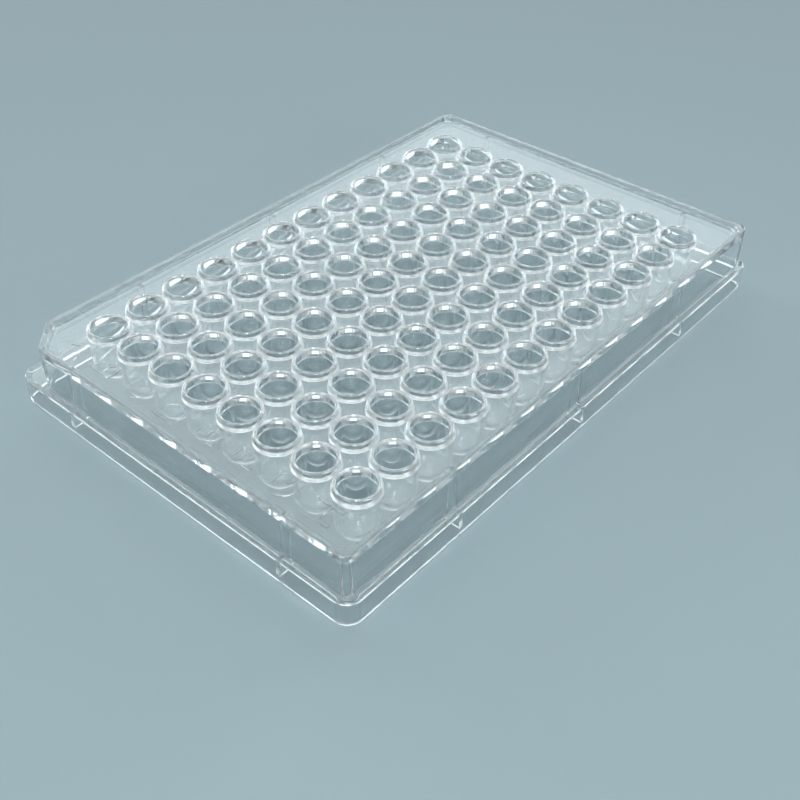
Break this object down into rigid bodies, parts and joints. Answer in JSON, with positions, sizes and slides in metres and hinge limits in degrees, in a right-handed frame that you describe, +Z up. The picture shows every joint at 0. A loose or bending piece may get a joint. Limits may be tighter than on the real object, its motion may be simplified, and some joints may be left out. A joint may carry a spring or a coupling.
{
  "type": "well plate",
  "caption": "Clear shallow plastic plate with a grid of round-bottomed wells, a raised rim, a stepped skirt and a cut corner.",
  "frame": {"origin": "centre of the rectangle that the skirt stands on, on the standing surface", "axes": "+X along the long side, in the direction of rising column numbers; +Y along the short side, from row H towards row A; +Z up, out of the wells' mouths. Well A1 and the cut corner are at -X +Y."},
  "size_m": [0.1278, 0.0854, 0.0143],
  "materials": {
    "clear_plastic": "clear, polished"
  },
  "bodies": {
    "root": {"plate": "clear_plastic"}
  },
  "joints": []
}
